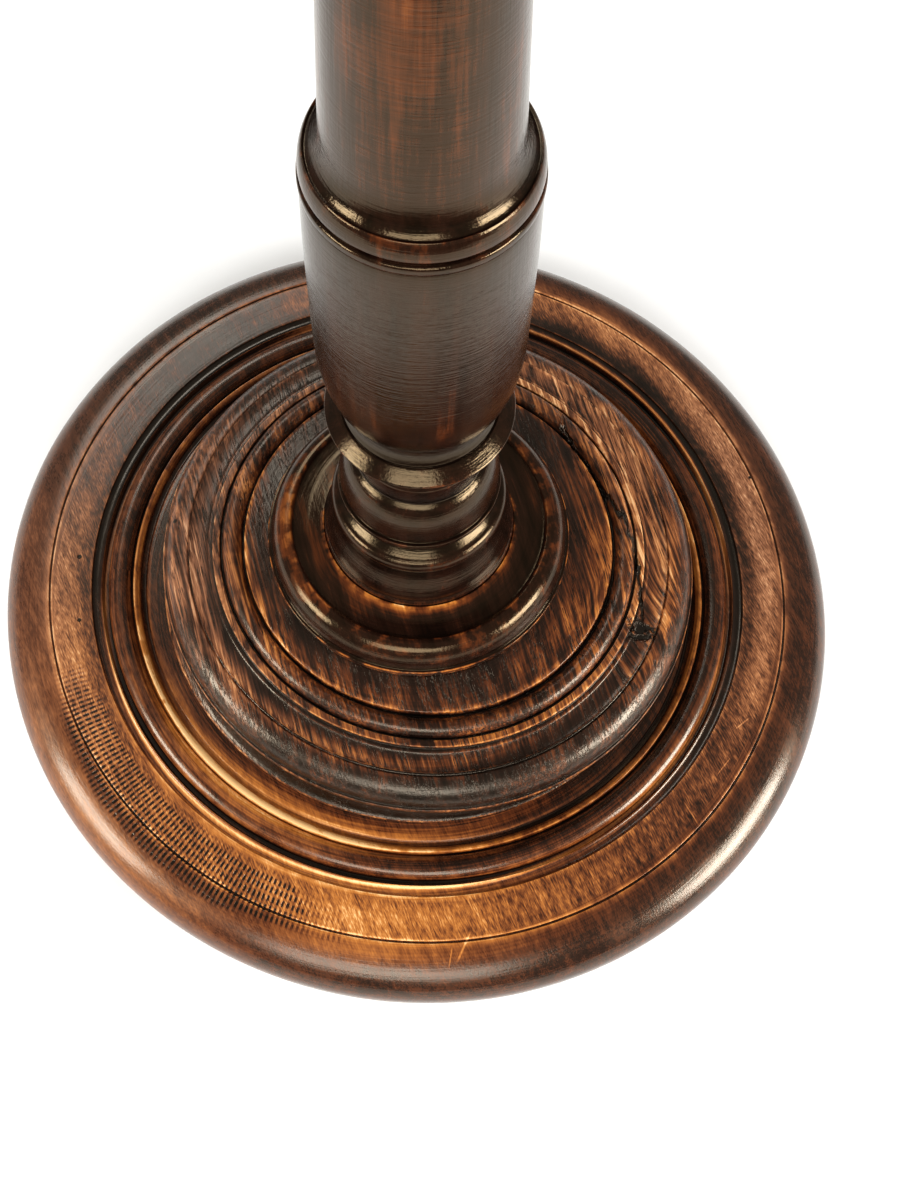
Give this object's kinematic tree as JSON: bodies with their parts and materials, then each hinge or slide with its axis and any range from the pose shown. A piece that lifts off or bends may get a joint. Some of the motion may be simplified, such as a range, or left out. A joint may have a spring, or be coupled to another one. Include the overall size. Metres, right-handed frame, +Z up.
{
  "type": "candlestick",
  "caption": "Tall turned wooden candlestick: broad moulded base of stacked discs, baluster stem with knop and collar, drip pan and brass-lined candle cup.",
  "frame": {"origin": "centre of the ring on which the base stands, on the stem's axis, at table level", "axes": "+Z up along the stem; +X and +Y are free, since every turned piece is round; the screws lie on the X and Y axes"},
  "size_m": [0.3134, 0.3134, 0.6],
  "materials": {
    "flecked_wood": "old brown stain and wax, worn to orange on the edges",
    "oak": "open-grained oak, dark stain and wax, worn to orange on the edges",
    "dark_wood": "near-black brown stain and wax polish",
    "pale_wood": "bare, aged",
    "screw_steel": "dulled",
    "brass": "tarnished"
  },
  "bodies": {
    "root": {"plinth_disc": "flecked_wood", "stepped_disc": "oak", "boss_disc": "dark_wood", "baluster": "dark_wood", "upper_shaft": "dark_wood", "tenon_wedge": "pale_wood", "base_screws": "screw_steel", "boss_dowels": "pale_wood", "capital": "dark_wood", "drip_pan": "dark_wood", "candle_cup": "dark_wood", "cup_liner": "brass"}
  },
  "joints": []
}
